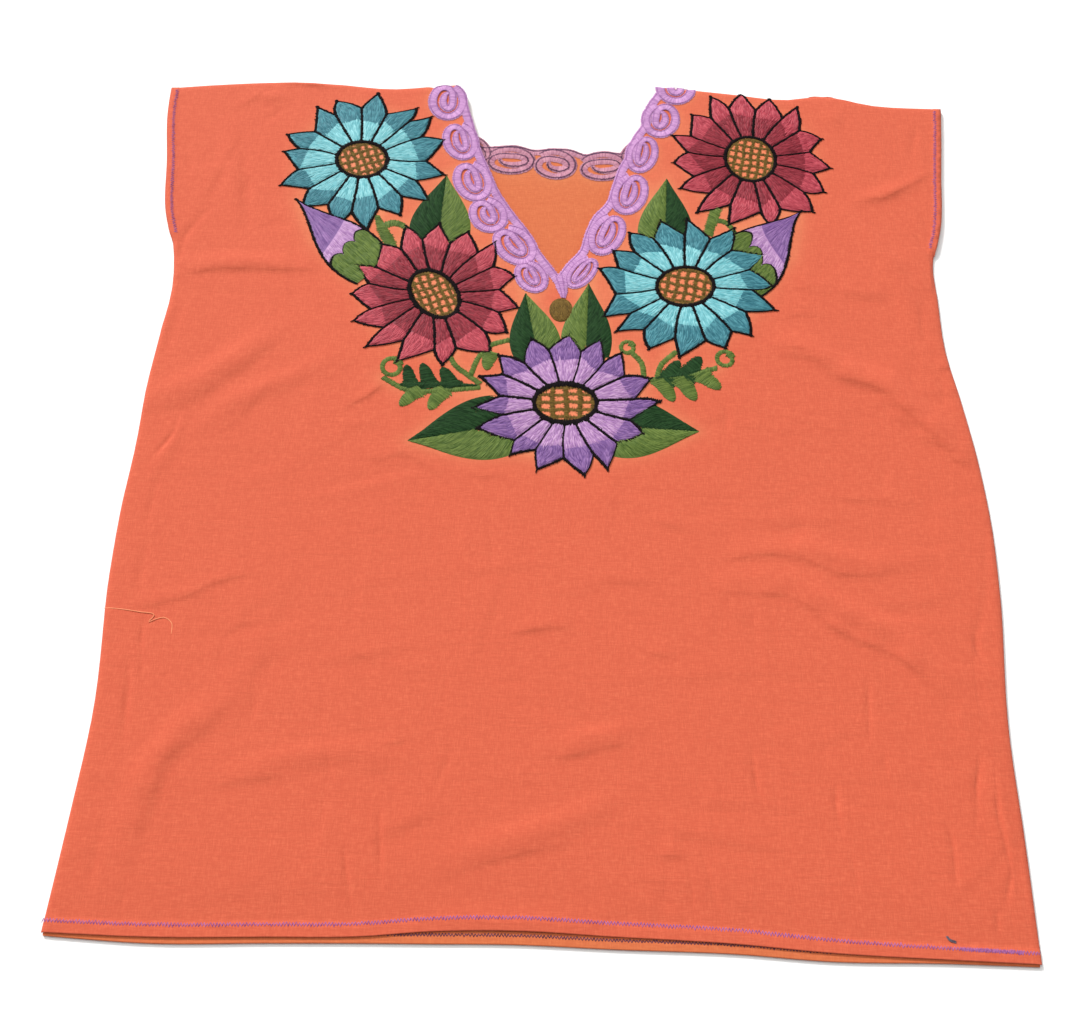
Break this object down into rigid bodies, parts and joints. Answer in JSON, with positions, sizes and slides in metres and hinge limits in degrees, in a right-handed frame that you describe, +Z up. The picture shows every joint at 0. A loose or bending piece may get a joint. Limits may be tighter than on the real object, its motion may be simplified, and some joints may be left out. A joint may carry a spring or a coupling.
{
  "type": "huipil blouse laid flat",
  "caption": "Sleeveless cotton huipil blouse laid flat, front up, with a scalloped V neck, open armholes and hem, and a satin-stitched flower yoke.",
  "frame": {"origin": "under the middle of the laid blouse's box, on the surface it lies on", "axes": "+X across the blouse, to the right as its front is seen; +Y from the hem to the neck; +Z up, out of the front"},
  "size_m": [0.5282, 0.5822, 0.0063],
  "materials": {
    "cotton": "plain woven cotton, coral orange, soft and matt",
    "braid_thread": "satin-stitched lavender thread",
    "seed_thread": "olive brown couched thread",
    "teal_thread": "satin-stitched teal thread, two shades",
    "rose_thread": "satin-stitched rose thread, two shades",
    "violet_thread": "satin-stitched violet thread, two shades",
    "leaf_thread": "satin-stitched green thread, two shades",
    "outline_thread": "black thread, stitched in narrow bars round the petals, discs and buds",
    "hem_thread": "machine sewing thread of the hems, lilac on the outside and dark purple inside"
  },
  "bodies": {
    "root": {"back_panel": "cotton", "front_panel": "cotton", "back_neck_braid": "braid_thread", "front_neck_braid": "braid_thread", "neck_ball": "seed_thread", "flower_shoulder_left": "teal_thread", "flower_shoulder_right": "rose_thread", "flower_chest_left": "rose_thread", "flower_chest_right": "teal_thread", "flower_lower": "violet_thread", "flower_shoulder_left_disc": "seed_thread", "flower_shoulder_right_disc": "seed_thread", "flower_chest_left_disc": "seed_thread", "flower_chest_right_disc": "seed_thread", "flower_lower_disc": "seed_thread", "calyx_left": "leaf_thread", "calyx_right": "leaf_thread", "bud_left": "violet_thread", "bud_right": "violet_thread", "leaf_chest_left": "leaf_thread", "leaf_chest_right": "leaf_thread", "leaf_neck_left": "leaf_thread", "leaf_neck_right": "leaf_thread", "leaf_waist_left": "leaf_thread", "leaf_waist_right": "leaf_thread", "sprig_left": "leaf_thread", "sprig_right": "leaf_thread", "stem_chest_left": "leaf_thread", "stem_chest_right": "leaf_thread"}
  },
  "joints": []
}
